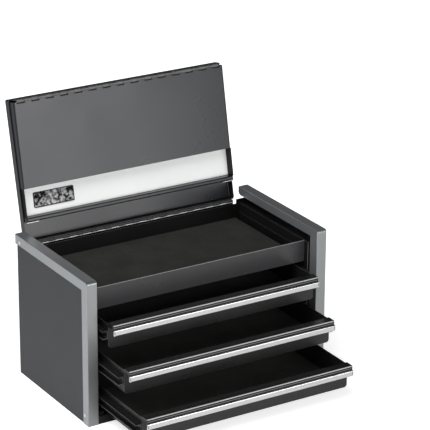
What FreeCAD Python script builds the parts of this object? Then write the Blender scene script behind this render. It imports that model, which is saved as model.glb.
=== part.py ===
# Machinist tool chest: a sheet steel case with a till under the lid, a front
# cover that folds up inside the lid, and three drawers on ball slides.
# Millimetres. X runs to the right, Y to the back, Z up. The origin is the
# middle of the base. The lid and cover are drawn shut, then swung about their
# hinges, and the drawers are drawn shut, then pulled out.

import FreeCAD
import Part
import math
import os

# ---- Case ----------------------------------------------------------------
case_width = 430.0              # over the edge trims
case_depth = 228.0              # trim front to the back panel's outer face
case_height = 237.0             # base to the top of the trims
case_sheet = 1.0
inner_wall_offset = 0.2         # inner wall's face outside the trim's inner leg
inner_wall_front_gap = 0.5      # inner wall's top ledge behind the trim's inner leg
inner_wall_setback = 6.0        # inner wall's front edge behind its top ledge's
rim_drop = 13.5                 # till's rim below the trims' top inner legs
rail_height = 13.5              # low rail under the front cover
rail_depth = 16.0
rail_setback = 0.8              # behind the trims' front face
rail_end_gap = 0.5              # to each trim
rail_edge_radius = 0.9
ear_gap = 1.0                   # back panel's ears to the ends of the hinge
ear_rise = 2.0                  # ears above the lid hinge's axis
spare = 1.0                     # how far a cutting shape reaches past its cut

# ---- Edge trims ------------------------------------------------------------
trim_width = 18.0
trim_sheet = 1.2
trim_outer_leg = 16.0
trim_top_inner_leg = 14.0
trim_front_inner_leg = 19.0
trim_back_overhang = 4.3        # past the back panel
trim_corner_radius = 4.5
trim_edge_radius = 1.0
trim_end_chamfer = 4.0          # rear lower end of the inner leg
trim_fit = 0.5                  # side panel edges to the trim's inside
screw_radius = 2.6
screw_head = 1.1
screw_head_radius = 0.9
screw_shank_radius = 1.4
screw_shank = 4.0
screw_from_end = 16.0           # along the trim, from its bottom or back end
screw_from_edge = 10.0          # across the trim's outer leg

# ---- Till ------------------------------------------------------------------
till_depth = 34.5               # rim down to the top of the till's floor
till_front = 35.4               # till wall's front face behind the trims' front
till_hem = 7.0                  # folded edge along the wall's top
till_hem_radius = 0.9
till_side_height = 18.5         # till's low side walls above its floor
liner_thickness = 10.5
liner_end_gap = 9.0             # till's foam to the inner walls
liner_gap = 0.5                 # foam to the walls around it

# ---- Lid -------------------------------------------------------------------
lid_side_gap = 4.2              # lid's side to the trim's inner leg
lid_top_drop = 0.5              # lid's top below the top of the trims
lid_front_setback = 1.5         # behind the trims' front face
lid_side_flange = 13.0
lid_bend_radius = 2.5
lid_lean = 12.8                 # past upright when fully open

# ---- Front cover -----------------------------------------------------------
cover_side_gap = 0.8            # cover's side to the lid's side flange
cover_rail_gap = 7.8            # cover's lower edge above the bottom rail
cover_thickness = 16.5
cover_tilt = 1.4                # past square to the lid when folded away
cover_bend_radius = 3.0
lip_height = 7.0                # cover's lower edge up to the grip recess
lip_radius = 2.2
recess_length = 46.5
recess_depth = 15.5
recess_end_thickness = 1.5
band_thickness = 0.8
band_gap = 0.4                  # band to the recess's ends and walls
badge_width = 72.0
badge_height = 25.0
badge_thickness = 1.2
badge_corner = 2.5
badge_from_end = 20.6           # from the recess's left end
strike_length = 21.0
strike_depth = 12.0
strike_thickness = 1.0
magnet_gap = 0.5                # magnet to strike plate, cover shut
magnet_width = 10.0
magnet_depth = 12.0

# ---- Hinges ----------------------------------------------------------------
barrel_radius = 2.2
pin_radius = 1.1
pin_fit = 0.1                   # pin to bore, on radius
leaf_thickness = 1.0
leaf_width = 19.0
knuckle_pitch = 12.7
knuckle_gap = 0.6               # between neighbouring knuckles
leaf_relief = 0.25              # leaf to the other leaf's knuckles
hinge_end_gap = 1.5             # hinge's end to the inside of the cover
pin_end = 0.5                   # pin past the last knuckle
skin_relief = 0.5               # skin edge to the cover hinge's axis
notch_gap = 1.0                 # skin to the other skin's knuckles
lid_hinge_rise = 5.5            # lid hinge's axis above the till's rim
cover_hinge_drop = 23.7         # below the lid's top

# ---- Drawers ---------------------------------------------------------------
drawer_count = 3
slide_space = 12.7              # drawer's side to the inner wall, for a slide
drawer_face = 36.5              # closed face behind the trims' front
drawer_back_gap = 6.5           # closed drawer to the back panel
drawer_sheet = 1.0
drawer_top_gap = 3.5            # upper drawer's ledge to the till's underside
drawer_gap = 14.5               # one drawer's bottom to the next one's ledge
drawer_rail_gap = 2.0           # lowest drawer's bottom above the bottom rail
drawer_bend_radius = 5.0        # lower corners of the drawer's front and sides
side_drop = 2.4                 # drawer sides below the ledge
drawer_liner = 3.0
drawer_1_extension = 47.0       # how far each drawer is out at rest
drawer_2_extension = 94.0
drawer_3_extension = 146.5
drawer_travel = 150.0           # from shut to fully out

# ---- Drawer pulls ----------------------------------------------------------
ledge_depth = 15.0              # out from the drawer's face
ledge_height = 6.6
ledge_radius = 1.4
groove_height = 1.7
groove_depth = 1.0
groove_drops = [2.5, 5.5]       # grooves' middles below the ledge's top
pull_height = 9.4
pull_front = 17.5               # strip's front face out from the drawer's face
pull_thickness = 2.4
pull_crown = 2.0                # rounding of the strip's upper front edge
pull_radius = 0.9
cap_width = 2.0

# ---- Drawer slides ---------------------------------------------------------
slide_back_gap = 3.0            # cabinet member to the back panel
slide_front_gap = 2.5           # cabinet member behind the inner wall's top ledge
slide_height = 27.0
slide_sheet = 1.0
slide_drop = 20.5               # slide's middle below the ledge's top
slide_reach = 10.7              # cabinet member's flanges out from its wall
runner_height = 13.0
runner_reach = 9.0
runner_start = 2.0              # behind the drawer's face
ball_radius = 2.5
ball_pitch = 11.0
balls_per_row = 4
cage_thickness = 0.8
cage_gap = 0.6                  # cage to the cabinet member's wall
cage_length = 44.0
cage_play = 0.5                 # cage to the members' flanges

# ---- Lines that the pieces share -------------------------------------------
front = -case_depth / 2
back = case_depth / 2
half_width = case_width / 2
panel_outer = half_width - trim_sheet
panel_inner = panel_outer - case_sheet
trim_inner = half_width - trim_width
inner_wall_half = trim_inner + inner_wall_offset
inner_wall_outer = inner_wall_half + case_sheet
inner_wall_front = front + trim_front_inner_leg + inner_wall_front_gap
back_inner = back - case_sheet
rim_height = case_height - trim_top_inner_leg - rim_drop
till_floor_height = rim_height - till_depth
till_wall_front = front + till_front

lid_half_width = trim_inner - lid_side_gap
lid_top = case_height - lid_top_drop
lid_front = front + lid_front_setback
lid_side_edge = lid_top - lid_side_flange
lid_axis_y = back + barrel_radius
lid_axis_z = rim_height + lid_hinge_rise
cover_axis_y = lid_front + case_sheet + barrel_radius
cover_axis_z = lid_top - cover_hinge_drop

cover_half_width = lid_half_width - case_sheet - cover_side_gap
hinge_half_length = cover_half_width - case_sheet - hinge_end_gap
cover_front = lid_front
cover_back = cover_front + cover_thickness
cover_top = cover_axis_z - skin_relief
cover_bottom = rail_height + cover_rail_gap
recess_bottom = cover_bottom + lip_height
recess_top = recess_bottom + recess_length
recess_floor = cover_front + recess_depth

drawer_half_width = inner_wall_half - slide_space
face_y = front + drawer_face
drawer_length = back_inner - drawer_back_gap - face_y
top_ledge_height = till_floor_height - case_sheet - drawer_top_gap
drawer_stack = top_ledge_height - rail_height - drawer_rail_gap
drawer_pitch = (drawer_stack + drawer_gap) / drawer_count
drawer_height = drawer_pitch - drawer_gap
cabinet_front = inner_wall_front + slide_front_gap
slide_length = back_inner - slide_back_gap - cabinet_front
drawer_extensions = [drawer_1_extension, drawer_2_extension, drawer_3_extension]


def box(x0, x1, y0, y1, z0, z1):
    corner = FreeCAD.Vector(x0, y0, z0)
    return Part.makeBox(x1 - x0, y1 - y0, z1 - z0, corner)


def prism(outline, x0, x1):
    """A solid with this (y, z) outline, running along X from x0 to x1."""
    points = [FreeCAD.Vector(x0, y, z) for y, z in outline]
    points.append(points[0])
    face = Part.Face(Part.makePolygon(points))
    return face.extrude(FreeCAD.Vector(x1 - x0, 0, 0))


def rod(x0, x1, y, z, radius):
    """A round bar along X."""
    start = FreeCAD.Vector(x0, y, z)
    return Part.makeCylinder(radius, x1 - x0, start, FreeCAD.Vector(1, 0, 0))


def fuse(shapes):
    return shapes[0].multiFuse(shapes[1:]).removeSplitter()


def mirror(shape):
    """The same piece on the other side of the chest's middle plane."""
    middle = FreeCAD.Vector(0, 0, 0)
    return shape.mirror(middle, FreeCAD.Vector(1, 0, 0))


def round_edges(shape, radius, chosen):
    """Rounds each straight edge whose two ends satisfy chosen(a, b)."""
    edges = []
    for edge in shape.Edges:
        if len(edge.Vertexes) == 2:
            a = edge.Vertexes[0].Point
            b = edge.Vertexes[1].Point
            if chosen(a, b):
                edges.append(edge)
    return shape.makeFillet(radius, edges)


def both(a, b, axis, value):
    """True where both points sit at this value of the axis."""
    return abs(a[axis] - value) < 0.01 and abs(b[axis] - value) < 0.01


def along(a, b, axis):
    """True where the straight line from a to b runs along this axis."""
    return abs(a[axis] - b[axis]) > 0.99 * a.distanceToPoint(b)


def open_lid(shape):
    """Swings a lid piece from shut to its open rest pose."""
    axis = FreeCAD.Vector(0, lid_axis_y, lid_axis_z)
    turned = shape.copy()
    turned.rotate(axis, FreeCAD.Vector(-1, 0, 0), 90 + lid_lean)
    return turned


def fold_cover(shape):
    """Folds a cover piece up under the lid, then opens the lid with it."""
    axis = FreeCAD.Vector(0, cover_axis_y, cover_axis_z)
    turned = shape.copy()
    turned.rotate(axis, FreeCAD.Vector(1, 0, 0), 90 + cover_tilt)
    return open_lid(turned)


def pull_out(shape, distance):
    """Slides a drawer piece forward from its closed place."""
    moved = shape.copy()
    moved.translate(FreeCAD.Vector(0, -distance, 0))
    return moved


def save(node, shapes):
    """Writes one node, as a solid or as a group of separate solids."""
    shape = shapes[0] if len(shapes) == 1 else Part.makeCompound(shapes)
    shape.exportStep("parts/" + node + ".step")


# ---- Case panels -----------------------------------------------------------
def side_panel():
    """The right outer side, with its corner cut to clear the bent trim."""
    y0 = front + trim_sheet + trim_fit
    z1 = case_height - trim_sheet - trim_fit
    cut = trim_corner_radius
    outline = [(y0, 0), (back, 0), (back, z1), (y0 + cut, z1), (y0, z1 - cut)]
    return prism(outline, panel_inner, panel_outer)


def inner_wall():
    """The right wall behind the slides, with a ledge out to the side panel."""
    x0 = inner_wall_half
    wall_front = inner_wall_front + inner_wall_setback
    wall = box(x0, inner_wall_outer, wall_front, back_inner, case_sheet, rim_height)
    ledge = box(x0, panel_inner, inner_wall_front, back_inner, rim_height - case_sheet, rim_height)
    return fuse([wall, ledge])


def back_panel():
    """The back, with an ear beside each end of the lid hinge."""
    x0 = hinge_half_length + ear_gap
    panel = box(-panel_inner, panel_inner, back_inner, back, 0, rim_height)
    ear = box(x0, panel_inner, back_inner, back, rim_height, lid_axis_z + ear_rise)
    return fuse([panel, ear, mirror(ear)])


def bottom_panel():
    """The floor, narrowed at the front to pass between the trims' inner legs."""
    tongue = trim_inner - rail_end_gap
    floor = box(-panel_inner, panel_inner, inner_wall_front, back_inner, 0, case_sheet)
    nose = box(-tongue, tongue, front + rail_setback, inner_wall_front, 0, case_sheet)
    return fuse([floor, nose])


def front_bottom_rail():
    """A folded channel on the floor that the cover shuts above."""
    half = trim_inner - rail_end_gap
    y0 = front + rail_setback
    outer = box(-half, half, y0, y0 + rail_depth, case_sheet, rail_height)
    outer = round_edges(
        outer, rail_edge_radius, lambda a, b: both(a, b, 1, y0) and both(a, b, 2, rail_height)
    )
    inner_back = y0 + rail_depth - case_sheet
    inner = box(-half, half, y0 + case_sheet, inner_back, case_sheet, rail_height - case_sheet)
    return outer.cut(inner)


# ---- Edge trims ------------------------------------------------------------
def trim_bar(inset):
    """The L-shaped bar that the right trim wraps, shrunk by inset on its faces."""
    leg = max(trim_outer_leg, trim_front_inner_leg)
    y0 = front + inset
    z1 = case_height - inset
    y2 = front + leg
    z2 = case_height - trim_outer_leg
    rear = back + trim_back_overhang
    outline = [(y0, 0), (y2, 0), (y2, z2), (rear, z2), (rear, z1), (y0, z1)]
    bar = prism(outline, trim_inner + inset, half_width - inset)
    corner = trim_corner_radius - inset
    return round_edges(bar, corner, lambda a, b: both(a, b, 1, y0) and both(a, b, 2, z1))


def edge_trim():
    """The right trim: a channel over the front and top edges of the side."""
    bar = trim_bar(0)
    for side in (trim_inner, half_width):
        bar = round_edges(bar, trim_edge_radius, lambda a, b: both(a, b, 0, side) and outer_edge(a, b))
    hollow = trim_bar(trim_sheet)
    rear = back + trim_back_overhang
    trim = bar.cut(hollow)
    middle = trim_inner + trim_width / 2
    x1 = half_width + spare
    y1 = rear + spare
    outer_waste = box(middle, x1, front + trim_outer_leg, y1, -spare, case_height - trim_outer_leg)
    x0 = trim_inner - spare
    z0 = case_height - trim_top_inner_leg
    inner_waste = box(x0, middle, front + trim_front_inner_leg, y1, -spare, z0)
    trim = trim.cut(outer_waste).cut(inner_waste)
    y0 = rear - trim_end_chamfer
    z2 = z0 + trim_end_chamfer
    chamfer = [(y1, z0 - spare), (y1, z2), (rear, z2), (y0, z0), (y0, z0 - spare)]
    return trim.cut(prism(chamfer, x0, middle))


def outer_edge(a, b):
    """True for edges along the trim's front face or its top face."""
    along_front = both(a, b, 1, front)
    along_top = both(a, b, 2, case_height)
    corner_a = abs(a[1] - front) < 0.01 or abs(a[2] - case_height) < 0.01
    corner_b = abs(b[1] - front) < 0.01 or abs(b[2] - case_height) < 0.01
    return along_front or along_top or (corner_a and corner_b)


def trim_screw(y, z):
    """A pan-head screw through the right trim's outer leg and the side panel."""
    outward = FreeCAD.Vector(1, 0, 0)
    head = Part.makeCylinder(screw_radius, screw_head, FreeCAD.Vector(half_width, y, z), outward)
    head = head.makeFillet(screw_head_radius, [head.Edges[0]])
    shank_start = FreeCAD.Vector(half_width - screw_shank, y, z)
    shank = Part.makeCylinder(screw_shank_radius, screw_shank, shank_start, outward)
    return fuse([head, shank])


def trim_screw_places():
    """One screw near the trim's bottom end and one near its back end, as (y, z)."""
    bottom = (front + screw_from_edge, screw_from_end)
    rear = (back + trim_back_overhang - screw_from_end, case_height - screw_from_edge)
    return [bottom, rear]


def drilled(shape):
    """Opens the screw holes in the right trim and side panel."""
    for y, z in trim_screw_places():
        x0 = half_width - screw_shank - spare
        hole = rod(x0, half_width + spare, y, z, screw_shank_radius)
        shape = shape.cut(hole)
    return shape


# ---- Till ------------------------------------------------------------------
def till_tray():
    """The till's floor, low sides and front wall, with a hemmed top."""
    half = inner_wall_half
    y0 = till_wall_front
    floor_bottom = till_floor_height - case_sheet
    floor = box(-half, half, y0, back_inner, floor_bottom, till_floor_height)
    wall = box(-half, half, y0, y0 + case_sheet, floor_bottom, rim_height)
    hem = box(-half, half, y0, y0 + 2 * case_sheet, rim_height - till_hem, rim_height)
    side_top = till_floor_height + till_side_height
    right_side = box(half - case_sheet, half, y0, back_inner, floor_bottom, side_top)
    left_side = mirror(right_side)
    tray = fuse([floor, wall, hem, right_side, left_side])
    return round_edges(tray, till_hem_radius, lambda a, b: both(a, b, 2, rim_height) and along(a, b, 0))


def till_liner():
    half = inner_wall_half - liner_end_gap
    y0 = till_wall_front + case_sheet + liner_gap
    z0 = till_floor_height
    return box(-half, half, y0, back_inner - liner_gap, z0, z0 + liner_thickness)


# ---- Hinges ----------------------------------------------------------------
def knuckle_spans(first):
    """The (x0, x1) of every second knuckle, starting with number first."""
    count = int(2 * hinge_half_length / knuckle_pitch)
    start = -count * knuckle_pitch / 2
    spans = []
    for i in range(first, count, 2):
        x0 = start + i * knuckle_pitch + knuckle_gap / 2
        spans.append((x0, x0 + knuckle_pitch - knuckle_gap))
    return spans


def hinge_leaf(axis_y, axis_z, skin_y, direction, first):
    """One leaf: a strip on the skin at skin_y, and its knuckles.

    The strip's far side from the skin is at skin_y plus its thickness, up
    (direction 1) or down (-1) from the barrel.
    """
    half = knuckle_spans(0)[0][0]
    y1 = skin_y + leaf_thickness
    beside_barrel = math.sqrt(barrel_radius ** 2 - (barrel_radius - leaf_thickness) ** 2)
    near = axis_z + direction * (beside_barrel + leaf_relief)
    far = axis_z + direction * (barrel_radius + leaf_width)
    solids = [box(half, -half, skin_y, y1, min(near, far), max(near, far))]
    for x0, x1 in knuckle_spans(first):
        solids.append(rod(x0, x1, axis_y, axis_z, barrel_radius))
        solids.append(box(x0, x1, skin_y, y1, min(axis_z, near), max(axis_z, near)))
    bore = rod(half - spare, spare - half, axis_y, axis_z, pin_radius + pin_fit)
    return fuse(solids).cut(bore)


def notched(shape, skin_y, axis_z, direction, first):
    """Cuts a skin's edge back around the other skin's knuckles."""
    y0 = skin_y - spare
    y1 = skin_y + case_sheet + spare
    z0 = axis_z - direction * spare
    z1 = axis_z + direction * (barrel_radius + notch_gap)
    for x0, x1 in knuckle_spans(first):
        notch = box(x0 - notch_gap, x1 + notch_gap, y0, y1, min(z0, z1), max(z0, z1))
        shape = shape.cut(notch)
    return shape


def hinge_pin(axis_y, axis_z):
    half = -knuckle_spans(0)[0][0] + pin_end
    return rod(-half, half, axis_y, axis_z, pin_radius)


# ---- Lid -------------------------------------------------------------------
def lid_panel():
    """A shallow pan: deep front and back flanges, low side flanges.

    The deep flanges stop where the hinges stop, so that each corner is as low
    as the sides.
    """
    w = lid_half_width
    t = case_sheet
    bend = lid_bend_radius
    front_edge = cover_axis_z + skin_relief
    rear_edge = lid_axis_z + barrel_radius + leaf_relief
    outer = box(-w, w, lid_front, back, front_edge, lid_top)
    outer = round_edges(outer, bend, lambda a, b: both(a, b, 2, lid_top) or along(a, b, 2))
    z1 = lid_top - t
    inner = box(t - w, w - t, lid_front + t, back - t, front_edge - spare, z1)
    inner = round_edges(inner, bend - t, lambda a, b: both(a, b, 2, z1) or along(a, b, 2))
    pan = outer.cut(inner)
    half = hinge_half_length
    z0 = front_edge - spare
    x1 = w + spare
    end_waste = box(half, x1, lid_front - spare, back + spare, z0, lid_side_edge)
    rear_waste = box(-x1, x1, 0, back + spare, z0, rear_edge)
    pan = pan.cut(end_waste).cut(mirror(end_waste)).cut(rear_waste)
    return notched(pan, lid_front, cover_axis_z, 1, 1)


# ---- Front cover -----------------------------------------------------------
def cover_panel():
    """A pan open at the back, with the long grip recess and a rounded lip."""
    w = cover_half_width
    t = case_sheet
    y0 = cover_front
    y1 = cover_back + spare
    body = box(-w, w, y0, cover_back, cover_bottom, cover_top)
    body = round_edges(body, cover_bend_radius, lambda a, b: both(a, b, 1, y0) and along(a, b, 2))
    hollow = box(t - w, w - t, y0 + t, y1, recess_top + t, cover_top + spare)
    bend = cover_bend_radius - t
    hollow = round_edges(hollow, bend, lambda a, b: both(a, b, 1, y0 + t) and along(a, b, 2))
    lip_hollow = box(t - w, w - t, y0 + t, y1, cover_bottom + t, recess_bottom - t)
    lip_bend = lip_radius - t
    lip_hollow = round_edges(
        lip_hollow, lip_bend, lambda a, b: both(a, b, 1, y0 + t) and along(a, b, 0)
    )
    recess = box(-w - spare, w + spare, y0 - spare, recess_floor, recess_bottom, recess_top)
    panel = body.cut(hollow).cut(lip_hollow).cut(recess)
    panel = panel.cut(lip_waste(cover_bottom, -1)).cut(lip_waste(recess_bottom, 1))
    return notched(panel, cover_front, cover_axis_z, -1, 0)


def lip_waste(edge_z, side):
    """What is cut away to round the lip's lower (-1) or upper (1) front edge."""
    w = cover_half_width
    r = lip_radius
    y0 = cover_front
    z0 = edge_z - side * r
    z1 = edge_z + side * spare
    square = box(-w - spare, w + spare, y0 - spare, y0 + r, min(z0, z1), max(z0, z1))
    return square.cut(rod(-w - 2 * spare, w + 2 * spare, y0 + r, z0, r))


def recess_end():
    """The black end of the grip recess, at the cover's right side."""
    w = cover_half_width
    x0 = w - recess_end_thickness
    return box(x0, w, cover_front, recess_floor, recess_bottom, recess_top)


def cover_band():
    """The pale plate on the recess's floor."""
    half = cover_half_width - recess_end_thickness - band_gap
    y1 = recess_floor
    return box(-half, half, y1 - band_thickness, y1, recess_bottom + band_gap, recess_top - band_gap)


def band_badge():
    """The blank plate near the band's left end."""
    x0 = -cover_half_width + recess_end_thickness + badge_from_end
    middle = (recess_bottom + recess_top) / 2
    y1 = recess_floor - band_thickness
    z0 = middle - badge_height / 2
    plate = box(x0, x0 + badge_width, y1 - badge_thickness, y1, z0, z0 + badge_height)
    return round_edges(plate, badge_corner, lambda a, b: along(a, b, 1))


def strike_plate():
    """The right bright plate under the lip's end, for the magnet to hold."""
    x1 = cover_half_width
    y0 = cover_front
    z1 = cover_bottom
    return box(x1 - strike_length, x1, y0, y0 + strike_depth, z1 - strike_thickness, z1)


def cover_magnet():
    """The right magnet, on the bottom rail beside the drawers' way out."""
    x1 = trim_inner - rail_end_gap
    y0 = front + rail_setback + (rail_depth - magnet_depth) / 2
    z1 = cover_bottom - strike_thickness - magnet_gap
    return box(x1 - magnet_width, x1, y0, y0 + magnet_depth, rail_height, z1)


# ---- Drawers ---------------------------------------------------------------
def drawer_box(ledge):
    """An open box with rounded lower edges; its front reaches up to the ledge."""
    w = drawer_half_width
    t = drawer_sheet
    r = drawer_bend_radius
    y1 = face_y + drawer_length
    z0 = ledge - drawer_height
    outer = box(-w, w, face_y, y1, z0, ledge - side_drop)
    outer = round_edges(outer, r, lambda a, b: both(a, b, 2, z0) and along(a, b, 1))
    inner = box(t - w, w - t, face_y + t, y1 - t, z0 + t, ledge)
    inner = round_edges(inner, r - t, lambda a, b: both(a, b, 2, z0 + t) and along(a, b, 1))
    return outer.cut(inner)


def pull_rail(ledge):
    """The black ledge along the drawer's front, with two grooves along its nose."""
    w = drawer_half_width
    y0 = face_y - ledge_depth
    z0 = ledge - ledge_height
    nose = box(-w, w, y0, face_y, z0, ledge)
    nose = round_edges(nose, ledge_radius, lambda a, b: both(a, b, 1, y0) and not both(a, b, 2, z0))
    for drop in groove_drops:
        bottom = ledge - drop - groove_height / 2
        top = ledge - drop + groove_height / 2
        groove = box(-w - spare, w + spare, y0 - spare, y0 + groove_depth, bottom, top)
        nose = nose.cut(groove)
    hook = box(-w, w, face_y, face_y + drawer_sheet, ledge - side_drop, ledge)
    return fuse([nose, hook])


def pull_strip(ledge):
    """The silver strip under the ledge's nose, with a flange back to the face."""
    w = drawer_half_width - cap_width
    y0 = face_y - pull_front
    z1 = ledge - ledge_height
    z0 = z1 - pull_height
    strip = box(-w, w, y0, y0 + pull_thickness, z0, z1)
    strip = round_edges(strip, pull_crown, lambda a, b: both(a, b, 1, y0) and both(a, b, 2, z1))
    strip = round_edges(strip, pull_radius, lambda a, b: both(a, b, 1, y0) and both(a, b, 2, z0))
    flange = box(-w, w, y0 + pull_thickness, face_y, z1 - drawer_sheet, z1)
    return fuse([strip, flange])


def pull_cap(ledge):
    """The cap on the strip's right end."""
    x1 = drawer_half_width
    y0 = face_y - pull_front
    z1 = ledge - ledge_height
    cap = box(x1 - cap_width, x1, y0, y0 + pull_thickness, z1 - pull_height, z1)
    cap = round_edges(cap, pull_crown, lambda a, b: both(a, b, 1, y0) and both(a, b, 2, z1))
    return round_edges(cap, pull_radius, lambda a, b: both(a, b, 0, x1) and along(a, b, 1))


def drawer_foam(ledge):
    t = drawer_sheet
    half = drawer_half_width - t - liner_gap
    y0 = face_y + t + liner_gap
    y1 = face_y + drawer_length - t - liner_gap
    z0 = ledge - drawer_height + t
    foam = box(-half, half, y0, y1, z0, z0 + drawer_liner)
    corner = foam_corner(half, y0, y1, z0)
    return foam.cut(corner).cut(mirror(corner))


def foam_corner(half, y0, y1, z0):
    """What the drawer's right lower bend takes off the foam."""
    r = drawer_bend_radius - drawer_sheet
    x0 = half + liner_gap - r
    square = box(x0, half + r, y0 - spare, y1 + spare, z0 - spare, z0 + r)
    centre = FreeCAD.Vector(x0, y0 - 2 * spare, z0 + r)
    length = y1 - y0 + 4 * spare
    bend = Part.makeCylinder(r - liner_gap, length, centre, FreeCAD.Vector(0, 1, 0))
    return square.cut(bend)


# ---- Drawer slides ---------------------------------------------------------
def cabinet_member(ledge):
    """The right slide's fixed channel, open towards the drawer."""
    middle = ledge - slide_drop
    x1 = inner_wall_half
    x0 = x1 - slide_reach
    y1 = cabinet_front + slide_length
    z0 = middle - slide_height / 2
    z1 = middle + slide_height / 2
    t = slide_sheet
    outer = box(x0, x1, cabinet_front, y1, z0, z1)
    outer = round_edges(outer, t, lambda a, b: both(a, b, 0, x1) and along(a, b, 1))
    inside = box(x0 - spare, x1 - t, cabinet_front - spare, y1 + spare, z0 + t, z1 - t)
    return outer.cut(inside)


def drawer_member(ledge):
    """The right slide's moving channel, on the drawer's side."""
    middle = ledge - slide_drop
    x0 = drawer_half_width
    x1 = x0 + runner_reach
    y0 = face_y + runner_start
    y1 = face_y + drawer_length
    z0 = middle - runner_height / 2
    z1 = middle + runner_height / 2
    t = slide_sheet
    outer = box(x0, x1, y0, y1, z0, z1)
    return outer.cut(box(x0 + t, x1 + spare, y0 - spare, y1 + spare, z0 + t, z1 - t))


def cage_middle():
    """Where the ball cage's middle sits along Y when its drawer is shut.

    With the drawer fully out, the cage is in the middle of what the two
    members still share, and it has travelled half as far as the drawer.
    """
    member_end = face_y + drawer_length - drawer_travel
    shared_middle = (cabinet_front + member_end) / 2
    return shared_middle + drawer_travel / 2


def ball_cage(ledge):
    """The right slide's cage, with a row of balls above and below the runner."""
    middle = ledge - slide_drop
    x1 = inner_wall_half - slide_sheet - cage_gap
    x0 = x1 - cage_thickness
    y0 = cage_middle() - cage_length / 2
    y1 = cage_middle() + cage_length / 2
    reach = slide_height / 2 - slide_sheet - cage_play
    row = (slide_height / 2 - slide_sheet + runner_height / 2) / 2
    ball_x = drawer_half_width + runner_reach / 2
    solids = [box(x0, x1, y0, y1, middle - reach, middle + reach)]
    for side in (-1, 1):
        z = middle + side * row
        web = cage_thickness / 2
        solids.append(box(ball_x - ball_radius, x0, y0, y1, z - web, z + web))
        for i in range(balls_per_row):
            y = cage_middle() + (i - (balls_per_row - 1) / 2) * ball_pitch
            solids.append(Part.makeSphere(ball_radius, FreeCAD.Vector(ball_x, y, z)))
    return fuse(solids)


# ---- Write the pieces --------------------------------------------------------
os.makedirs("parts", exist_ok=True)

panel = drilled(side_panel())
trim = drilled(edge_trim())
wall = inner_wall()
save("right_side_panel", [panel])
save("left_side_panel", [mirror(panel)])
save("right_inner_wall", [wall])
save("left_inner_wall", [mirror(wall)])
save("back_panel", [back_panel()])
save("bottom_panel", [bottom_panel()])
save("front_bottom_rail", [front_bottom_rail()])
save("till_tray", [till_tray()])
save("till_liner", [till_liner()])
save("right_edge_trim", [trim])
save("left_edge_trim", [mirror(trim)])
screws = [trim_screw(y, z) for y, z in trim_screw_places()]
save("trim_screws", screws + [mirror(screw) for screw in screws])
magnet = cover_magnet()
save("cover_magnets", [magnet, mirror(magnet)])

save("lid_hinge_case_leaf", [hinge_leaf(lid_axis_y, lid_axis_z, back, -1, 0)])
save("lid_hinge_pin", [hinge_pin(lid_axis_y, lid_axis_z)])
save("lid_hinge_lid_leaf", [open_lid(hinge_leaf(lid_axis_y, lid_axis_z, back, 1, 1))])
save("lid_panel", [open_lid(lid_panel())])

inside = lid_front + case_sheet
save("cover_hinge_lid_leaf", [open_lid(hinge_leaf(cover_axis_y, cover_axis_z, inside, 1, 0))])
save("cover_hinge_pin", [open_lid(hinge_pin(cover_axis_y, cover_axis_z))])
save("cover_hinge_cover_leaf", [fold_cover(hinge_leaf(cover_axis_y, cover_axis_z, inside, -1, 1))])
save("cover_panel", [fold_cover(cover_panel())])
end = recess_end()
save("recess_ends", [fold_cover(end), fold_cover(mirror(end))])
save("cover_band", [fold_cover(cover_band())])
save("band_badge", [fold_cover(band_badge())])
strike = strike_plate()
save("cover_strike_plates", [fold_cover(strike), fold_cover(mirror(strike))])

for i, extension in enumerate(drawer_extensions):
    name = "drawer_" + str(i + 1)
    ledge = top_ledge_height - i * drawer_pitch
    save(name + "_box", [pull_out(drawer_box(ledge), extension)])
    save(name + "_liner", [pull_out(drawer_foam(ledge), extension)])
    save(name + "_pull_rail", [pull_out(pull_rail(ledge), extension)])
    save(name + "_pull_strip", [pull_out(pull_strip(ledge), extension)])
    cap = pull_out(pull_cap(ledge), extension)
    save(name + "_pull_caps", [cap, mirror(cap)])
    runner = pull_out(drawer_member(ledge), extension)
    save(name + "_right_slide", [runner])
    save(name + "_left_slide", [mirror(runner)])
    cage = pull_out(ball_cage(ledge), extension / 2)
    save(name + "_ball_cages", [cage, mirror(cage)])
    channel = cabinet_member(ledge)
    save("right_cabinet_slide_" + str(i + 1), [channel])
    save("left_cabinet_slide_" + str(i + 1), [mirror(channel)])
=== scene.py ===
import math

import bpy
from mathutils import Matrix, Vector


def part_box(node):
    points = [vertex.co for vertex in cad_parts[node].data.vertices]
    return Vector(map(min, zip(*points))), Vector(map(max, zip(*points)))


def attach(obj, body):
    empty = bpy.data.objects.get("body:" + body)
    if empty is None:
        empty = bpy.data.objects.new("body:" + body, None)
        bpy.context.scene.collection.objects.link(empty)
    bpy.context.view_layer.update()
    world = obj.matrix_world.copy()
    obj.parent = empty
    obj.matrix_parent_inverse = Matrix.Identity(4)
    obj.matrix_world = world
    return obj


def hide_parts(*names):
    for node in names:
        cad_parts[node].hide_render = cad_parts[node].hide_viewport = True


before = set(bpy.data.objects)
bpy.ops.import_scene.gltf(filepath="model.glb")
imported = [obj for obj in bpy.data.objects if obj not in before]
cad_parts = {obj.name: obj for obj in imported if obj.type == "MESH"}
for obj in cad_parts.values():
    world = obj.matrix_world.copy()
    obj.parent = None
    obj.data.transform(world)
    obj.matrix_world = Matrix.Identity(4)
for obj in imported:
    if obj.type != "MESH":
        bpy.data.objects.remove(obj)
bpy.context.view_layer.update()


# ---- Case panels -----------------------------------------------------------------
# Both sides, the back, the floor, the walls behind the slides and the low front
# rail are folded from 1 mm sheet steel and spot-welded together. The outside is
# baked with a charcoal powder coat. The floor, the rail and the walls take a
# darker copy of that coat, and the back's inner face darker still: painted shade
# for the dark inside the case. The walls' front edges carry a painted highlight.

def grey(tone):
    return (tone, tone, tone)


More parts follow.
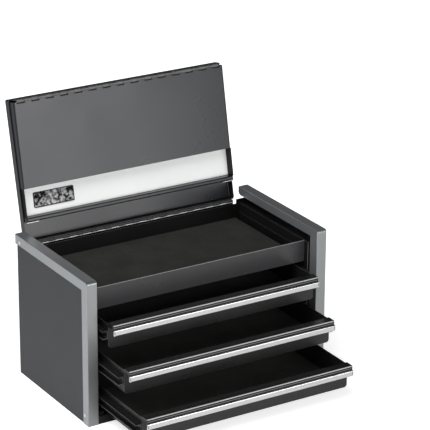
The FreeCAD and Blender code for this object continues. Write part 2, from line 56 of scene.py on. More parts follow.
def new_material(name, colour, roughness, metallic=0.0, specular=0.5):
    """A material with a Principled surface. Returns it, its nodes, its links and the shader."""
    material = bpy.data.materials.new(name)
    material.use_nodes = True
    nodes = material.node_tree.nodes
    shader = nodes["Principled BSDF"]
    shader.inputs["Base Color"].default_value = (*colour, 1.0)
    shader.inputs["Roughness"].default_value = roughness
    shader.inputs["Metallic"].default_value = metallic
    shader.inputs["Specular IOR Level"].default_value = specular
    return material, nodes, material.node_tree.links, shader


def dress(material, *node_names):
    """Puts the material on CAD nodes."""
    for name in node_names:
        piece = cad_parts[name]
        for i in range(len(piece.material_slots)):
            piece.material_slots[i].material = material


def new_group(name, inputs, outputs):
    """An empty shader node group with these float inputs and these outputs."""
    group = bpy.data.node_groups.new(name, "ShaderNodeTree")
    for label, value in inputs:
        socket = group.interface.new_socket(label, in_out="INPUT", socket_type="NodeSocketFloat")
        socket.default_value = value
    for label, kind in outputs:
        group.interface.new_socket(label, in_out="OUTPUT", socket_type=kind)
    return group, group.nodes.new("NodeGroupInput"), group.nodes.new("NodeGroupOutput")


def placed(nodes, group, **values):
    """The node group in a material, with these values on its inputs."""
    node = nodes.new("ShaderNodeGroup")
    node.node_tree = group
    for label, value in values.items():
        node.inputs[label].default_value = value
    return node


def feed(links, value, socket):
    """Sets the socket to a number or a colour, or links it to another socket."""
    if isinstance(value, float):
        socket.default_value = value
    elif isinstance(value, tuple):
        socket.default_value = (*value, 1.0)
    else:
        links.new(value, socket)


def object_coordinates(nodes):
    return nodes.new("ShaderNodeTexCoord").outputs["Object"]


def noise(nodes, links, place, scale, detail=2.0):
    """A noise texture over the given coordinates. Scale may be a number or a socket."""
    node = nodes.new("ShaderNodeTexNoise")
    feed(links, scale, node.inputs["Scale"])
    node.inputs["Detail"].default_value = detail
    links.new(place, node.inputs["Vector"])
    return node.outputs["Fac"]


def ramp(nodes, links, value, low, high, start=0.0, end=1.0):
    """Maps a value's range start to end onto low to high."""
    node = nodes.new("ShaderNodeMapRange")
    node.inputs["From Min"].default_value = start
    node.inputs["From Max"].default_value = end
    node.inputs["To Min"].default_value = low
    node.inputs["To Max"].default_value = high
    links.new(value, node.inputs["Value"])
    return node.outputs["Result"]


def tint(nodes, links, mask, dark, light):
    """A colour between dark and light by the mask. Each may be a colour or a socket."""
    node = nodes.new("ShaderNodeMix")
    node.data_type = "RGBA"
    sockets = [socket for socket in node.inputs if socket.type == "RGBA"]
    for socket, colour in zip(sockets, (dark, light)):
        feed(links, colour, socket)
    links.new(mask, node.inputs["Factor"])
    return [socket for socket in node.outputs if socket.type == "RGBA"][0]


def number_step(nodes, links, operation, first, second=0.0):
    """One step of arithmetic. The second may be a number or a socket."""
    node = nodes.new("ShaderNodeMath")
    node.operation = operation
    links.new(first, node.inputs[0])
    feed(links, second, node.inputs[1])
    return node.outputs["Value"]


def vector_step(nodes, links, operation, first, second=(0.0, 0.0, 0.0)):
    """One step of vector arithmetic. The second may be a vector or a socket."""
    node = nodes.new("ShaderNodeVectorMath")
    node.operation = operation
    links.new(first, node.inputs[0])
    if isinstance(second, (tuple, Vector)):
        node.inputs[1].default_value = second
    else:
        links.new(second, node.inputs[1])
    return node.outputs["Value" if operation in ("DOT_PRODUCT", "LENGTH") else "Vector"]


def looking(nodes, links, direction):
    """A mask that is 1 on the faces that look this way."""
    starts, full = 0.74, 0.84   # cosines of the angle between a face and the direction
    normal = nodes.new("ShaderNodeTexCoord").outputs["Normal"]
    agreement = vector_step(nodes, links, "DOT_PRODUCT", normal, direction)
    return ramp(nodes, links, agreement, 0.0, 1.0, start=starts, end=full)


def near(nodes, links, value, middle, reach):
    """A mask that is 1 where the value is within reach of middle."""
    blur = 0.0001
    off = number_step(nodes, links, "SUBTRACT", value, middle)
    distance = number_step(nodes, links, "ABSOLUTE", off)
    return ramp(nodes, links, distance, 1.0, 0.0, start=reach - blur, end=reach + blur)


def both(nodes, links, first, second):
    """A mask that is 1 where both masks are."""
    return number_step(nodes, links, "MULTIPLY", first, second)


def bump(nodes, links, shader, height, strength, depth, normal=None):
    """Raises the shader's surface by the height, over the given normal if there is one."""
    node = nodes.new("ShaderNodeBump")
    node.inputs["Strength"].default_value = strength
    node.inputs["Distance"].default_value = depth
    links.new(height, node.inputs["Height"])
    if normal is not None:
        links.new(normal, node.inputs["Normal"])
    links.new(node.outputs["Normal"], shader.inputs["Normal"])


# The coat's surface: a fine peel for the bump, and a broad cloudiness that
# shifts tone and shine a little from place to place.
coat_grain = 900.0
coat_cloud = 9.0
peel_depth = 0.0001
peel, peel_in, peel_out = new_group(
    "orange_peel",
    [("Grain", coat_grain), ("Cloud", coat_cloud)],
    [("Height", "NodeSocketFloat"), ("Cloud", "NodeSocketFloat")],
)
peel_place = object_coordinates(peel.nodes)
fine = noise(peel.nodes, peel.links, peel_place, peel_in.outputs["Grain"])
broad = noise(peel.nodes, peel.links, peel_place, peel_in.outputs["Cloud"], detail=3.0)
peel.links.new(fine, peel_out.inputs["Height"])
cloud = ramp(peel.nodes, peel.links, broad, 0.0, 1.0, start=0.3, end=0.7)
peel.links.new(cloud, peel_out.inputs["Cloud"])

# Where the coat thins on a cut or folded edge, and a painted highlight lies along
# that edge: the mask is 1 on the edge and 0 away from it, and Rounded is the
# surface's normal with the edge softened. The two cosines are of the angle
# between the flat and the softened normal.
wear_and_highlight_reach = 0.0006
wear_and_highlight_starts = 0.97
wear_and_highlight_full = 0.80
edge, edge_in, edge_out = new_group(
    "edge_wear_and_highlight",
    [("Reach", wear_and_highlight_reach)],
    [("Mask", "NodeSocketFloat"), ("Rounded", "NodeSocketVector")],
)
softened = edge.nodes.new("ShaderNodeBevel")
softened.samples = 6
edge.links.new(edge_in.outputs["Reach"], softened.inputs["Radius"])
flat = edge.nodes.new("ShaderNodeNewGeometry").outputs["Normal"]
agreement = vector_step(edge.nodes, edge.links, "DOT_PRODUCT", softened.outputs["Normal"], flat)
wear_and_highlight_mask = ramp(edge.nodes, edge.links, agreement, 1.0, 0.0, start=wear_and_highlight_full, end=wear_and_highlight_starts)
edge.links.new(wear_and_highlight_mask, edge_out.inputs["Mask"])
edge.links.new(softened.outputs["Normal"], edge_out.inputs["Rounded"])


def powder_coat(name, tones, roughness, wear_and_highlight_tone, facings=(), specular=0.5):
    """A powder-coated steel surface, lighter on its edges: worn thin there, and a painted highlight.

    Tones and roughness each give the two ends that the coat's cloudiness
    drifts between. Each of facings is a direction and the colour of the faces
    that look that way, painted lighter or darker for how light falls on them.
    """
    material, nodes, links, shader = new_material(name, tones[1], roughness[1], specular=specular)
    coat = placed(nodes, peel, Grain=coat_grain, Cloud=coat_cloud)
    worn_and_lit = placed(nodes, edge, Reach=wear_and_highlight_reach)
    body = tint(nodes, links, coat.outputs["Cloud"], *tones)
    # The edges: the coat worn thin there, and a painted highlight along them.
    colour = tint(nodes, links, worn_and_lit.outputs["Mask"], body, wear_and_highlight_tone)
    # Painted light and shade on the faces that look each facing's way.
    for direction, other in facings:
        colour = tint(nodes, links, looking(nodes, links, direction), colour, other)
    links.new(colour, shader.inputs["Base Color"])
    shine = ramp(nodes, links, coat.outputs["Cloud"], *roughness)
    links.new(shine, shader.inputs["Roughness"])
    rounded = worn_and_lit.outputs["Rounded"]
    bump(nodes, links, shader, coat.outputs["Height"], strength=0.15, depth=peel_depth, normal=rounded)
    return material


forward = (0.0, -1.0, 0.0)
charcoal_tones = ((0.007, 0.008, 0.014), (0.010, 0.011, 0.018))
coat_tones = ((0.012, 0.013, 0.0160), (0.017, 0.018, 0.0225))
coat_roughness = (0.26, 0.33)
# Edge tones here and below: wear and a painted highlight in one.
coat_wear_and_highlight = (0.16, 0.16, 0.165)
# Painted shade: the pieces inside take a darker copy of the coat.
inside_shade_tones = (grey(0.006), grey(0.009))
inside_roughness = (0.34, 0.44)
inside_wear_and_highlight = grey(0.10)
inside_specular = 0.3
# Painted shade on the back panel's inner face, which looks forward.
back_inner_shade = grey(0.005)
# A painted highlight on the walls' forward-facing front edges.
wall_edge_highlight = grey(0.24)

charcoal = powder_coat(
    "charcoal_powder_coat", charcoal_tones, coat_roughness, coat_wear_and_highlight, specular=0.44
)
back_coat = powder_coat(
    "back_powder_coat",
    coat_tones,
    coat_roughness,
    coat_wear_and_highlight,
    facings=[(forward, back_inner_shade)],
)
# Painted shade on the floor, the low rail and the walls.
inside_shade_coat = powder_coat(
    "inside_painted_shade", inside_shade_tones, inside_roughness, inside_wear_and_highlight, specular=inside_specular
)
# Painted shade, with a painted highlight on the walls' front edges.
wall_shade_and_edge_highlight = powder_coat(
    "wall_shade_and_edge_highlight",
    inside_shade_tones,
    inside_roughness,
    inside_wear_and_highlight,
    facings=[(forward, wall_edge_highlight)],
    specular=inside_specular,
)
dress(charcoal, "left_side_panel", "right_side_panel")
dress(back_coat, "back_panel")
dress(inside_shade_coat, "bottom_panel", "front_bottom_rail")
dress(wall_shade_and_edge_highlight, "left_inner_wall", "right_inner_wall")


# ---- Edge trims ------------------------------------------------------------------
# One bent channel on each side caps the front and top edges. It is thin steel
# in a smooth satin silver paint with a fine metal flake.

# Painted light and shade: fronts darker, sides lighter, the top-front bend darker.
trim_tones = ((0.335, 0.350, 0.362), (0.355, 0.368, 0.380))
trim_wear_and_highlight = (0.38, 0.395, 0.405)
trim_front_shade = (0.30, 0.31, 0.312)
trim_side_light = (0.41, 0.432, 0.448)
trim_bend_shade = (0.25, 0.26, 0.27)
trim_wear_and_highlight_reach = 0.0007
flake_grain = 2600.0
flake_cloud = 40.0
up_and_forward = (0.0, -0.7, 0.7)

silver, nodes, links, shader = new_material(
    "silver_trim_paint", (0.34, 0.355, 0.367), roughness=0.31, metallic=0.75
)
flake = placed(nodes, peel, Grain=flake_grain, Cloud=flake_cloud)
trim_edge_marks = placed(nodes, edge, Reach=trim_wear_and_highlight_reach)
paint = tint(nodes, links, flake.outputs["Cloud"], *trim_tones)
# The edges: paint worn there, and a painted highlight.
colour = tint(nodes, links, trim_edge_marks.outputs["Mask"], paint, trim_wear_and_highlight)
# Painted light and shade on the faces that look each way.
for direction, tone in (
    (forward, trim_front_shade),
    ((-1.0, 0.0, 0.0), trim_side_light),
    ((1.0, 0.0, 0.0), trim_side_light),
    (up_and_forward, trim_bend_shade),
):
    colour = tint(nodes, links, looking(nodes, links, direction), colour, tone)
links.new(colour, shader.inputs["Base Color"])
links.new(ramp(nodes, links, flake.outputs["Cloud"], 0.30, 0.33), shader.inputs["Roughness"])
bump(nodes, links, shader, flake.outputs["Height"], strength=0.06, depth=peel_depth)
dress(silver, "left_edge_trim", "right_edge_trim")


# ---- Trim screws -----------------------------------------------------------------
# Each trim is held by a bright zinc pan-head screw near its lower end and one
# near its back end. The domed head has a cross recess for the driver.

head_radius = 0.0026
head_height = 0.0013
head_sides = 40
crown_width = 0.72 * head_height
recess_width = 0.0009
recess_span = 0.0030
recess_depth = 0.0008
recess_turn = math.radians(25.0)
quarter_turn = math.radians(90.0)
zinc_tones = ((0.86, 0.86, 0.84), (0.97, 0.97, 0.95))


def begin():
    """Leaves edit mode and deselects everything."""
    if bpy.context.mode != "OBJECT":
        bpy.ops.object.mode_set(mode="OBJECT")
    bpy.ops.object.select_all(action="DESELECT")


def take(piece):
    """Makes the piece the only one selected, and the active one."""
    begin()
    piece.select_set(True)
    bpy.context.view_layer.objects.active = piece


def settle(piece, name, material, body):
    """Bakes the piece's place into its mesh, names it, paints it and rides it."""
    take(piece)
    bpy.ops.object.transform_apply(location=True, rotation=True, scale=True)
    piece.name = name
    piece.data.materials.clear()
    piece.data.materials.append(material)
    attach(piece, body)


def apply_modifiers(piece):
    take(piece)
    for modifier in list(piece.modifiers):
        bpy.ops.object.modifier_apply(modifier=modifier.name)


def bare_finish(name, tones, roughness, scale, detail=3.0, metallic=0.0, specular=0.5):
    """An uncoated surface whose tone and roughness drift between their two ends."""
    material, nodes, links, shader = new_material(
        name, tones[1], roughness[1], metallic=metallic, specular=specular
    )
    drift = noise(nodes, links, object_coordinates(nodes), scale, detail)
    links.new(tint(nodes, links, drift, *tones), shader.inputs["Base Color"])
    links.new(ramp(nodes, links, drift, *roughness), shader.inputs["Roughness"])
    return material


zinc = bare_finish("bright_zinc", zinc_tones, roughness=(0.14, 0.26), scale=420.0, metallic=0.45)

begin()
bpy.ops.mesh.primitive_cylinder_add(
    vertices=head_sides,
    radius=head_radius,
    depth=head_height,
    location=(0.0, 0.0, head_height / 2),
)
screw = bpy.context.object
bpy.ops.object.transform_apply(location=True)
crown = screw.modifiers.new("crown", "BEVEL")
crown.width = crown_width
crown.segments = 5
crown.limit_method = "ANGLE"
apply_modifiers(screw)
cutters = []
for turn in (0.0, quarter_turn):
    begin()
    bpy.ops.mesh.primitive_cube_add(
        size=1.0, location=(0.0, 0.0, head_height), rotation=(0.0, 0.0, turn)
    )
    blade = bpy.context.object
    blade.scale = (recess_span, recess_width, 2 * recess_depth)
    bpy.ops.object.transform_apply(location=False, rotation=True, scale=True)
    cutters.append(blade)
for blade in cutters:
    cut = screw.modifiers.new("recess", "BOOLEAN")
    cut.operation = "DIFFERENCE"
    cut.solver = "EXACT"
    cut.object = blade
apply_modifiers(screw)
for blade in cutters:
    bpy.data.objects.remove(blade, do_unlink=True)
take(screw)
bpy.ops.object.shade_smooth_by_angle(angle=math.radians(35.0))

low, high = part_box("trim_screws")
half_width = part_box("right_edge_trim")[1][0]
places = {
    "lower": (low[1] + head_radius, low[2] + head_radius),
    "rear": (high[1] - head_radius, high[2] - head_radius),
}
for side, sign in (("left", -1.0), ("right", 1.0)):
    for label, (y, z) in places.items():
        copy = screw.copy()
        copy.data = screw.data.copy()
        bpy.context.scene.collection.objects.link(copy)
        copy.location = (sign * half_width, y, z)
        # The turn about the screw's own axis comes before the tip onto its side.
        copy.rotation_mode = "ZYX"
        copy.rotation_euler = (0.0, sign * quarter_turn, recess_turn)
        settle(copy, side + "_" + label + "_trim_screw", zinc, "case")
        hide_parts("trim_screws")
bpy.data.objects.remove(screw, do_unlink=True)


# ---- Till ------------------------------------------------------------------------
# A bent tray between the inner walls makes the compartment under the lid. Its
# front wall has a hemmed top edge, and black foam lines its floor. The tray takes
# the inside's painted shade, with painted light on its front wall and a painted
# highlight on the hem's round.

# Painted light on the front wall's face and a painted highlight on its hem.
till_front_light = (0.036, 0.036, 0.038)
till_hem_highlight = (0.15, 0.15, 0.145)
foam_pores = 620.0
foam_marks = 22.0
foam_columns = 72
foam_rows = 36
foam_edge_radius = 0.0007
foam_edge_angle = math.radians(40.0)
# Painted shade in the foam's pores.
foam_pore_shade_share = 0.35           # of the darker tone, in the pores
foam_flat_margin = 0.002        # round the top, where it stays even
foam_unevenness = 0.0007        # from the top's lowest place to its highest
foam_wave = 0.035

till_coat = powder_coat(
    "till_powder_coat",
    inside_shade_tones,
    roughness=(0.22, 0.29),
    wear_and_highlight_tone=grey(0.09),
    facings=[(forward, till_front_light), (up_and_forward, till_hem_highlight)],
)
dress(till_coat, "till_tray")

# Closed-cell foam: small open pores where the sheet was split, and broad
# marks where it has been pressed.
cells, cells_in, cells_out = new_group(
    "foam_cells",
    [("Pores", foam_pores)],
    [("Height", "NodeSocketFloat"), ("Pressed", "NodeSocketFloat")],
)
foam_place = object_coordinates(cells.nodes)
pores = cells.nodes.new("ShaderNodeTexVoronoi")
cells.links.new(foam_place, pores.inputs["Vector"])
cells.links.new(cells_in.outputs["Pores"], pores.inputs["Scale"])
marks = noise(cells.nodes, cells.links, foam_place, foam_marks, detail=4.0)
cells.links.new(pores.outputs["Distance"], cells_out.inputs["Height"])
pressed = ramp(cells.nodes, cells.links, marks, 0.0, 1.0, start=0.3, end=0.7)
cells.links.new(pressed, cells_out.inputs["Pressed"])


def foam_material(name, dark, light):
    """Matt foam between two tones, with painted shade darker still in its pores."""
    material, nodes, links, shader = new_material(name, light, roughness=0.95, specular=0.15)
    sponge = placed(nodes, cells, Pores=foam_pores)
    shade = tint(nodes, links, sponge.outputs["Pressed"], dark, light)
    # Painted shade in the pores.
    pore_shade = tuple(value * foam_pore_shade_share for value in dark)
    pore_shade_mask = ramp(nodes, links, sponge.outputs["Height"], 1.0, 0.0, start=0.05, end=0.45)
    links.new(tint(nodes, links, pore_shade_mask, shade, pore_shade), shader.inputs["Base Color"])
    bump(nodes, links, shader, sponge.outputs["Height"], strength=0.6, depth=0.0004)
    return material


def foam_sheet(node, name, material, body, lower_bevel):
    """A cut sheet of foam with soft edges and a slightly uneven top.

    Its two ends draw in by lower_bevel at the bottom, clear of the sheet steel's bends.
    """
    low, high = (Vector(corner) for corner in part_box(node))
    size = high - low
    begin()
    bpy.ops.mesh.primitive_grid_add(x_subdivisions=foam_columns, y_subdivisions=foam_rows, size=1.0)
    sheet = bpy.context.object
    sheet.scale = (size.x, size.y, 1.0)
    sheet.location = ((low.x + high.x) / 2, (low.y + high.y) / 2, high.z)
    bpy.ops.object.transform_apply(location=True, scale=True)
    thickness = sheet.modifiers.new("thickness", "SOLIDIFY")
    thickness.thickness = size.z
    thickness.offset = -1.0
    apply_modifiers(sheet)
    middle = (low.z + high.z) / 2
    hair = 0.0001
    top = sheet.vertex_groups.new(name="top")
    bottom_edge = []
    for vertex in sheet.data.vertices:
        place = vertex.co
        from_end = min(place.x - low.x, high.x - place.x)
        from_edge = min(from_end, place.y - low.y, high.y - place.y)
        if place.z > middle and from_edge > foam_flat_margin:
            top.add([vertex.index], 1.0, "REPLACE")
        if place.z < middle and from_end < hair:
            bottom_edge.append(vertex)
    for vertex in bottom_edge:
        vertex.co.x -= math.copysign(lower_bevel, vertex.co.x)
    waves = bpy.data.textures.new(name + "_waves", "CLOUDS")
    waves.noise_scale = foam_wave
    uneven = sheet.modifiers.new("uneven", "DISPLACE")
    uneven.texture = waves
    uneven.texture_coords = "LOCAL"
    uneven.direction = "Z"
    uneven.mid_level = 0.5
    uneven.strength = foam_unevenness
    uneven.vertex_group = "top"
    soft = sheet.modifiers.new("soft", "BEVEL")
    soft.width = foam_edge_radius
    soft.segments = 3
    soft.limit_method = "ANGLE"
    soft.angle_limit = foam_edge_angle
    apply_modifiers(sheet)
    bpy.ops.object.shade_smooth_by_angle(angle=foam_edge_angle)
    settle(sheet, name, material, body)
    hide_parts(node)


till_foam = foam_material("till_foam", (0.026, 0.026, 0.025), (0.034, 0.034, 0.032))
foam_sheet("till_liner", "till_foam_sheet", till_foam, "case", 0.0)


# ---- Drawer slides ---------------------------------------------------------------
# Each drawer hangs on two ball slides: a channel screwed to the case, one
# riveted to the drawer, and a cage of steel balls that rolls between them.

slide_tones = (grey(0.008), grey(0.012))
# The slides' edges: worn coat and a painted highlight.
slide_wear_and_highlight = (0.30, 0.30, 0.31)
ball_tones = ((0.40, 0.40, 0.41), (0.66, 0.66, 0.67))
drawer_numbers = ("1", "2", "3")

slide_steel = powder_coat(
    "black_slide_steel", slide_tones, roughness=(0.30, 0.40), wear_and_highlight_tone=slide_wear_and_highlight
)
ball_steel = bare_finish(
    "ball_steel", ball_tones, roughness=(0.18, 0.36), scale=260.0, metallic=1.0
)
for number in drawer_numbers:
    dress(ball_steel, "drawer_" + number + "_ball_cages")
    for side in ("left", "right"):
        dress(slide_steel, side + "_cabinet_slide_" + number, "drawer_" + number + "_" + side + "_slide")


# ---- Hinges ----------------------------------------------------------------------
# Two continuous hinges with rolled half-inch knuckles carry the lid and the
# cover. The leaves are coated with the sheet they are welded to.

leaf_tone = grey(0.006)
# The knuckle tones: rubbed steel and a painted highlight on the barrels.
cover_leaf_tone = (0.006, 0.006, 0.007)
rear_knuckle_tone = grey(0.05)
cover_knuckle_tone = grey(0.15)
# A painted highlight line along under the rear hinge's knuckles.
painted_highlight_line_tone = (0.85, 0.85, 0.84)
knuckle_radius = 0.0023
knuckle_blend_end = 0.0026
knuckle_dull_share = 0.7
knuckle_cloud = 60.0
foot_level = -0.0021            # height from the pin's middle
foot_reach = 0.00025


def hinge_steel(name, pin, leaf, knuckle, foot=None):
    """Thinly coated steel with lighter knuckles round the given pin: bare-rubbed, with a painted highlight.

    Where foot is given, a painted highlight line of that colour runs along under the knuckles.
    """
    material, nodes, links, shader = new_material(name, leaf, roughness=0.30, specular=0.1)
    low, high = (Vector(corner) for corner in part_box(pin))
    place = object_coordinates(nodes)
    from_pin = vector_step(nodes, links, "SUBTRACT", place, (low + high) / 2)
    across = vector_step(nodes, links, "MULTIPLY", from_pin, (0.0, 1.0, 1.0))
    away = vector_step(nodes, links, "LENGTH", across)
    on_knuckle = ramp(nodes, links, away, 1.0, 0.0, start=knuckle_radius, end=knuckle_blend_end)
    knuckle_drift = placed(nodes, peel, Grain=coat_grain, Cloud=knuckle_cloud)
    dull = tuple(value * knuckle_dull_share for value in knuckle)
    # Knuckles lighter: rubbed steel and a painted highlight.
    knuckle_wear_and_highlight = tint(nodes, links, knuckle_drift.outputs["Cloud"], dull, knuckle)
    colour = tint(nodes, links, on_knuckle, leaf, knuckle_wear_and_highlight)
    # The painted highlight line under the knuckles.
    if foot:
        split = nodes.new("ShaderNodeSeparateXYZ")
        links.new(from_pin, split.inputs["Vector"])
        on_foot = near(nodes, links, split.outputs["Z"], foot_level, foot_reach)
        colour = tint(nodes, links, on_foot, colour, foot)
    links.new(colour, shader.inputs["Base Color"])
    links.new(ramp(nodes, links, knuckle_drift.outputs["Cloud"], 0.26, 0.36), shader.inputs["Roughness"])
    return material


rear_hinge = hinge_steel("rear_hinge_steel", "lid_hinge_pin", leaf_tone, rear_knuckle_tone)
# The case leaf carries the painted highlight line.
hinge_with_painted_highlight_line = hinge_steel(
    "hinge_steel_painted_highlight_line", "lid_hinge_pin", leaf_tone, rear_knuckle_tone, foot=painted_highlight_line_tone
)
cover_hinge = hinge_steel(
    "cover_hinge_steel", "cover_hinge_pin", cover_leaf_tone, cover_knuckle_tone
)
dress(rear_hinge, "lid_hinge_lid_leaf")
dress(hinge_with_painted_highlight_line, "lid_hinge_case_leaf")
dress(cover_hinge, "cover_hinge_lid_leaf", "cover_hinge_cover_leaf")
dress(ball_steel, "lid_hinge_pin", "cover_hinge_pin")


# ---- Lid and front cover ---------------------------------------------------------
# Both are shallow pans of the same coated sheet, and the cover folds up under the
# lid. Its long grip recess has black plastic ends and a pale painted band, and
# two zinc plates at its lower edge meet the magnets on the front rail.

lid_top_edge = (0.0, 0.2, 0.98)   # which way that edge looks with the lid open
# Painted shade on the lid's and cover's top edge.
lid_top_edge_shade = grey(0.003)
band_tones = ((0.82, 0.835, 0.825), (0.88, 0.89, 0.88))
strike_tones = ((0.40, 0.39, 0.37), (0.56, 0.55, 0.53))
plastic_tones = (grey(0.002), grey(0.004))

lid_coat = powder_coat(
    "lid_powder_coat",
    coat_tones,
    coat_roughness,
    wear_and_highlight_tone=grey(0.10),
    facings=[(lid_top_edge, lid_top_edge_shade)],
)
dress(lid_coat, "lid_panel", "cover_panel")

band_paint, nodes, links, shader = new_material(
    "pale_band_paint", (0.80, 0.81, 0.80), roughness=0.45
)
mist = placed(nodes, peel, Grain=1500.0, Cloud=12.0)
links.new(tint(nodes, links, mist.outputs["Cloud"], *band_tones), shader.inputs["Base Color"])
links.new(ramp(nodes, links, mist.outputs["Cloud"], 0.38, 0.50), shader.inputs["Roughness"])
bump(nodes, links, shader, mist.outputs["Height"], strength=0.08, depth=peel_depth)
dress(band_paint, "cover_band")

dull_zinc = bare_finish(
    "dull_zinc", strike_tones, roughness=(0.32, 0.46), scale=300.0, metallic=1.0
)
dress(dull_zinc, "cover_strike_plates")

black_plastic = bare_finish(
    "black_plastic", plastic_tones, roughness=(0.44, 0.58), scale=1100.0, detail=2.0, specular=0.2
)
dress(black_plastic, "recess_ends", "cover_magnets")


# ---- Badge -----------------------------------------------------------------------
# A blank plate glued to the band near its left end: dark enamel inside a fine
# raised border, with rounded corners.

badge_border = 0.0011
badge_sink = 0.0004
weld_distance = 0.00001
flat_angle = math.radians(1.0)
rim_tones = (grey(0.014), grey(0.020))
enamel_tones = ((0.012, 0.012, 0.013), grey(0.42))

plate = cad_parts["band_badge"].copy()
plate.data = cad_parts["band_badge"].data.copy()
bpy.context.scene.collection.objects.link(plate)
plate.hide_render = False
take(plate)
bpy.ops.object.mode_set(mode="EDIT")
bpy.ops.mesh.select_mode(type="FACE")
bpy.ops.mesh.select_all(action="SELECT")
bpy.ops.mesh.remove_doubles(threshold=weld_distance)
bpy.ops.mesh.dissolve_limited(angle_limit=flat_angle)
bpy.ops.mesh.select_all(action="DESELECT")
bpy.ops.object.mode_set(mode="OBJECT")
front_face = max(plate.data.polygons, key=lambda face: face.area * (-face.normal.y))
front_face.select = True
badge_area = front_face.area
bpy.ops.object.mode_set(mode="EDIT")
bpy.ops.mesh.inset(thickness=badge_border, depth=0.0)
bpy.ops.mesh.inset(thickness=badge_sink, depth=-badge_sink)
bpy.ops.object.mode_set(mode="OBJECT")

# The rim's edges: worn coat and a painted highlight.
badge_rim = powder_coat("badge_rim", rim_tones, roughness=(0.26, 0.34), wear_and_highlight_tone=grey(0.06))
badge, nodes, links, shader = new_material(
    "badge_enamel", (0.05, 0.05, 0.052), roughness=0.32
)
mottle = placed(nodes, peel, Grain=210.0, Cloud=190.0)
blots = ramp(nodes, links, mottle.outputs["Cloud"], 0.0, 1.0, start=0.35, end=0.75)
links.new(tint(nodes, links, blots, *enamel_tones), shader.inputs["Base Color"])
links.new(ramp(nodes, links, mottle.outputs["Cloud"], 0.22, 0.40), shader.inputs["Roughness"])
bump(nodes, links, shader, mottle.outputs["Height"], strength=0.8, depth=0.0012)
settle(plate, "blank_badge", badge, "front_cover")
plate.data.materials.append(badge_rim)
for face in plate.data.polygons:
    # Only the sunk face and the hidden back are over half the plate's area.
    face.material_index = 0 if face.area > 0.5 * badge_area else 1
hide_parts("band_badge")


# ---- Drawers ---------------------------------------------------------------------
# Three alike: a folded steel box with foam on its floor, and along its front a
# black grooved ledge over a brushed aluminium strip with small end caps.

box_tones = (grey(0.008), grey(0.012))
# The boxes' edges: worn coat and a painted highlight.
box_wear_and_highlight = grey(0.14)
ledge_tones = (grey(0.006), grey(0.009))
# Painted highlights on the ledge's ridge and nose.
ridge_highlight_tone = grey(0.11)
nose_highlight_tone = grey(0.34)
ridge_drop = 0.0040             # from the ledge's top to the ridge between its grooves
ridge_reach = 0.0006
strip_tones = ((0.60, 0.605, 0.60), (0.78, 0.785, 0.78))
streak_stretch = (6.0, 1500.0, 1500.0)   # how close the streaks lie along each axis
slot_tone = grey(0.05)
slot_inset = 0.0014             # from a cap's outer end to its slot's middle
slot_half_width = 0.0005
slot_margin = 0.0022            # from a cap's top or bottom to its slot
drawer_foam_bevel = 0.0015

drawer_coat = powder_coat(
    "drawer_powder_coat", box_tones, roughness=(0.24, 0.31), wear_and_highlight_tone=box_wear_and_highlight
)
# A lighter copy of the till's foam: painted light for the shade inside the drawers.
lightened_drawer_foam = foam_material("lightened_drawer_foam", (0.045, 0.045, 0.043), (0.060, 0.060, 0.057))


def ledge_paint(name, ledge_top):
    """Gloss black, with painted highlights along the nose's round and the ridge between its grooves."""
    material, nodes, links, shader = new_material(name, grey(0.007), roughness=0.24)
    coat = placed(nodes, peel, Grain=coat_grain, Cloud=coat_cloud)
    black = tint(nodes, links, coat.outputs["Cloud"], *ledge_tones)
    split = nodes.new("ShaderNodeSeparateXYZ")
    links.new(object_coordinates(nodes), split.inputs["Vector"])
    level = near(nodes, links, split.outputs["Z"], ledge_top - ridge_drop, ridge_reach)
    # Painted highlights on the ridge and on the nose's round.
    ridge = both(nodes, links, looking(nodes, links, forward), level)
    colour = tint(nodes, links, ridge, black, ridge_highlight_tone)
    colour = tint(nodes, links, looking(nodes, links, up_and_forward), colour, nose_highlight_tone)
    links.new(colour, shader.inputs["Base Color"])
    links.new(ramp(nodes, links, coat.outputs["Cloud"], 0.20, 0.28), shader.inputs["Roughness"])
    return material


# Brushing runs along the strip: long fine streaks in tone and shine.
streaks, streaks_in, streaks_out = new_group(
    "brushed_streaks", [("Fineness", 1.0)], [("Streak", "NodeSocketFloat")]
)
stretch = streaks.nodes.new("ShaderNodeMapping")
stretch.inputs["Scale"].default_value = streak_stretch
streaks.links.new(object_coordinates(streaks.nodes), stretch.inputs["Vector"])
lines = noise(
    streaks.nodes, streaks.links, stretch.outputs["Vector"], streaks_in.outputs["Fineness"], detail=4.0
)
streak = ramp(streaks.nodes, streaks.links, lines, 0.0, 1.0, start=0.25, end=0.75)
streaks.links.new(streak, streaks_out.inputs["Streak"])


def brushed_metal(name, caps=None):
    """Aluminium brushed along its length. Where caps is given, each cap has its dark slot."""
    material, nodes, links, shader = new_material(
        name, (0.86, 0.865, 0.86), roughness=0.30, metallic=1.0
    )
    brush = placed(nodes, streaks, Fineness=1.0)
    colour = tint(nodes, links, brush.outputs["Streak"], *strip_tones)
    if caps:
        low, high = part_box(caps)
        middle = (low[2] + high[2]) / 2
        slot_half_height = (high[2] - low[2]) / 2 - slot_margin
        split = nodes.new("ShaderNodeSeparateXYZ")
        links.new(object_coordinates(nodes), split.inputs["Vector"])
        sideways = number_step(nodes, links, "ABSOLUTE", split.outputs["X"])
        across = near(nodes, links, sideways, high[0] - slot_inset, slot_half_width)
        along = near(nodes, links, split.outputs["Z"], middle, slot_half_height)
        colour = tint(nodes, links, both(nodes, links, across, along), colour, slot_tone)
    links.new(colour, shader.inputs["Base Color"])
    links.new(ramp(nodes, links, brush.outputs["Streak"], 0.20, 0.32), shader.inputs["Roughness"])
    bump(nodes, links, shader, brush.outputs["Streak"], strength=0.12, depth=0.0001)
    return material


brushed = brushed_metal("brushed_aluminium")

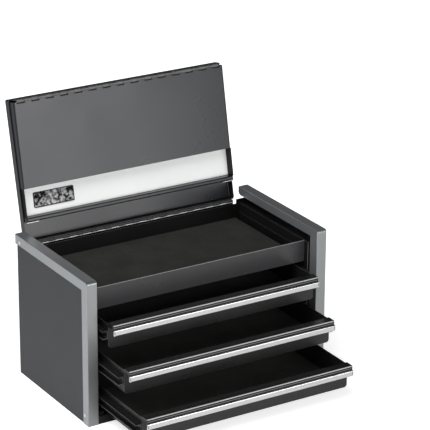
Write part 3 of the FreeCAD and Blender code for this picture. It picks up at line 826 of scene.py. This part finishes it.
for number in drawer_numbers:
    name = "drawer_" + number
    ledge_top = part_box(name + "_pull_rail")[1][2]
    dress(drawer_coat, name + "_box")
    dress(ledge_paint(name + "_ledge_paint", ledge_top), name + "_pull_rail")
    dress(brushed, name + "_pull_strip")
    dress(brushed_metal(name + "_cap_aluminium", caps=name + "_pull_caps"), name + "_pull_caps")
    foam_sheet(name + "_liner", name + "_foam_sheet", lightened_drawer_foam, name, drawer_foam_bevel)


# ---- Floor, light and camera -----------------------------------------------------
# The chest stands on a white floor among four soft boxes. The glossy paint shows
# only the one in front. A strong one above and weaker ones on the left and at
# the front left light the surfaces without being mirrored.

floor_size = 30.0
floor_glow_near = 0.65          # how bright the floor looks round the chest
glow_rise_starts = 0.35         # distances from the middle of the floor
glow_rise_ends = 1.0
room_light = 0.10               # the share of the room's white that lights the chest
room_mirrored = 0.25            # the share of that light which glossy paint mirrors

begin()
bpy.ops.mesh.primitive_plane_add(size=floor_size, location=(0.0, 0.0, 0.0))
floor = bpy.context.object
floor.name = "floor"
white, nodes, links, shader = new_material(
    "white_floor", grey(0.80), roughness=0.9, specular=0.0
)
eye = nodes.new("ShaderNodeLightPath").outputs["Is Camera Ray"]
reach = vector_step(nodes, links, "LENGTH", object_coordinates(nodes))
fade = ramp(nodes, links, reach, floor_glow_near, 1.0, start=glow_rise_starts, end=glow_rise_ends)
shader.inputs["Emission Color"].default_value = (1.0, 1.0, 1.0, 1.0)
links.new(both(nodes, links, eye, fade), shader.inputs["Emission Strength"])
floor.data.materials.append(white)

world = bpy.data.worlds.new("studio")
bpy.context.scene.world = world
world.use_nodes = True
nodes = world.node_tree.nodes
links = world.node_tree.links
room = nodes["Background"]
room.inputs["Color"].default_value = (1.0, 1.0, 1.0, 1.0)
sight = nodes.new("ShaderNodeLightPath")
seen = ramp(nodes, links, sight.outputs["Is Camera Ray"], room_light, 1.0)
mirrored = ramp(nodes, links, sight.outputs["Is Glossy Ray"], 1.0, room_mirrored)
links.new(both(nodes, links, seen, mirrored), room.inputs["Strength"])


def softbox(name, place, aim, width, height, power, mirrored=True):
    """A flat area light at place, facing aim. Where not mirrored, shiny paint doesn't show it."""
    data = bpy.data.lights.new(name, "AREA")
    data.shape = "RECTANGLE"
    data.size = width
    data.size_y = height
    data.energy = power
    lamp = bpy.data.objects.new(name, data)
    lamp.location = place
    lamp.rotation_euler = (Vector(aim) - Vector(place)).to_track_quat("-Z", "Y").to_euler()
    lamp.visible_glossy = mirrored
    bpy.context.scene.collection.objects.link(lamp)


softbox(
    "front_softbox", (0.45, -1.7, 0.50), (0.40, 0.0, 0.40), width=1.4, height=0.8, power=17.0
)
softbox(
    "upper_softbox", (-0.95, -0.4, 2.0), (-0.1, 0.0, 0.1), width=1.8, height=1.8, power=46.0, mirrored=False
)
softbox(
    "side_softbox", (-2.2, 0.2, 0.7), (0.0, 0.0, 0.12), width=1.2, height=1.2, power=9.0, mirrored=False
)
softbox(
    "fill_softbox", (-0.7, -1.9, 0.55), (0.0, 0.0, 0.30), width=1.6, height=1.2, power=9.0, mirrored=False
)

azimuth = math.radians(31.71)   # to the left of straight in front
elevation = math.radians(21.38)
roll = math.radians(0.39)
distance = 3.6883
target = Vector((0.0787, 0.0, 0.2495))
ahead = Vector((
    math.sin(azimuth) * math.cos(elevation),
    math.cos(azimuth) * math.cos(elevation),
    -math.sin(elevation),
))
across = Vector((math.cos(azimuth), -math.sin(azimuth), 0.0))
upward = across.cross(ahead)
right = across * math.cos(roll) + upward * math.sin(roll)
top = upward * math.cos(roll) - across * math.sin(roll)
view = bpy.data.cameras.new("camera")
view.lens = 195.3
view.sensor_width = 36.0
view.clip_end = 100.0
camera = bpy.data.objects.new("camera", view)
turn = Matrix((right, top, -ahead)).transposed()
camera.matrix_world = Matrix.Translation(target - ahead * distance) @ turn.to_4x4()
bpy.context.scene.collection.objects.link(camera)
bpy.context.scene.camera = camera

bpy.context.scene.view_settings.view_transform = "Standard"
